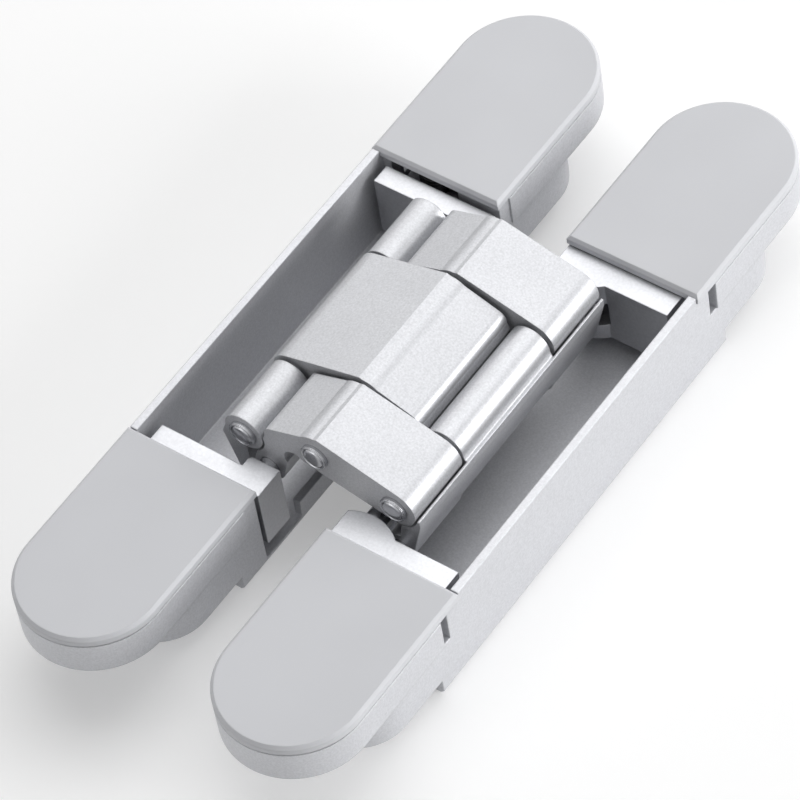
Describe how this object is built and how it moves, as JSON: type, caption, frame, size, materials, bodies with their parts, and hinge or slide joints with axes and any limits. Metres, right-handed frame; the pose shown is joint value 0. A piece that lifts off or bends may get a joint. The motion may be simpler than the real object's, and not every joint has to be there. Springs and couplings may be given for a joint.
{
  "type": "concealed door hinge",
  "caption": "Concealed door hinge, laid open flat: round-ended trough bodies with cover caps, joined by interleaved arms, links and pins that fold into the troughs when the door shuts.",
  "frame": {"origin": "centre of the opened hinge at its underside", "axes": "+X from the frame half to the door half, +Y along the hinge's length, +Z out of the faces"},
  "size_m": [0.071, 0.16, 0.0308],
  "materials": {
    "body": "satin, bead-blasted, clear coated",
    "cap": "fine matte",
    "carrier": "bead-blasted",
    "arm": "satin, bead-blasted",
    "link": "satin",
    "pin": "plain steel",
    "screw": "zinc plated"
  },
  "bodies": {
    "frame": {"frame_body": "body", "frame_near_cap": "cap", "frame_far_cap": "cap", "frame_lock_screws": "screw"},
    "frame_carriage": {"frame_near_carrier": "carrier", "frame_far_carrier": "carrier", "frame_arm_pin": "pin"},
    "side_arms": {"near_side_arm": "arm", "far_side_arm": "arm", "centre_pin": "pin", "door_knuckle_pin": "pin"},
    "middle_arm": {"centre_arm": "arm", "frame_knuckle_pin": "pin"},
    "frame_link": {"frame_link": "link", "frame_link_pin": "pin"},
    "door_link": {"door_link": "link", "door_link_pin": "pin"},
    "door_carriage": {"door_near_carrier": "carrier", "door_far_carrier": "carrier", "door_arm_pin": "pin"},
    "door": {"door_body": "body", "door_near_cap": "cap", "door_far_cap": "cap", "door_lock_screws": "screw"}
  },
  "joints": [
    {"name": "height_adjust", "type": "slide", "parent": "frame", "child": "frame_carriage", "axis": [0, 1, 0], "range_m": [-0.001, 0.001]},
    {"name": "fold", "type": "hinge", "parent": "frame_carriage", "child": "side_arms", "pos_m": [-0.0115, 0, 0.0155], "axis": [0, -1, 0], "range_deg": [0, 108.8]},
    {"name": "cross", "type": "hinge", "parent": "side_arms", "child": "middle_arm", "pos_m": [0, 0, 0.026], "axis": [0, -1, 0], "range_deg": [-38.1, 0.5]},
    {"name": "door_turn", "type": "hinge", "parent": "middle_arm", "child": "door_carriage", "pos_m": [0.0115, 0, 0.0155], "axis": [0, -1, 0], "range_deg": [-0.5, 109.3]},
    {"name": "frame_link_turn", "type": "hinge", "parent": "middle_arm", "child": "frame_link", "pos_m": [-0.0162, 0, 0.022], "axis": [0, -1, 0], "range_deg": [-0.5, 35.47]},
    {"name": "door_link_turn", "type": "hinge", "parent": "side_arms", "child": "door_link", "pos_m": [0.0162, 0, 0.022], "axis": [0, -1, 0], "range_deg": [-35.47, 0.5]},
    {"name": "side_adjust", "type": "slide", "parent": "door_carriage", "child": "door", "axis": [1, 0, 0], "range_m": [-0.0015, 0.0015]}
  ],
  "couplings": [
    {"joint": "cross", "follows": "fold", "ratio": -0.34559},
    {"joint": "door_turn", "follows": "fold", "ratio": 1},
    {"joint": "frame_link_turn", "follows": "fold", "ratio": 0.3214},
    {"joint": "door_link_turn", "follows": "fold", "ratio": -0.3214}
  ]
}
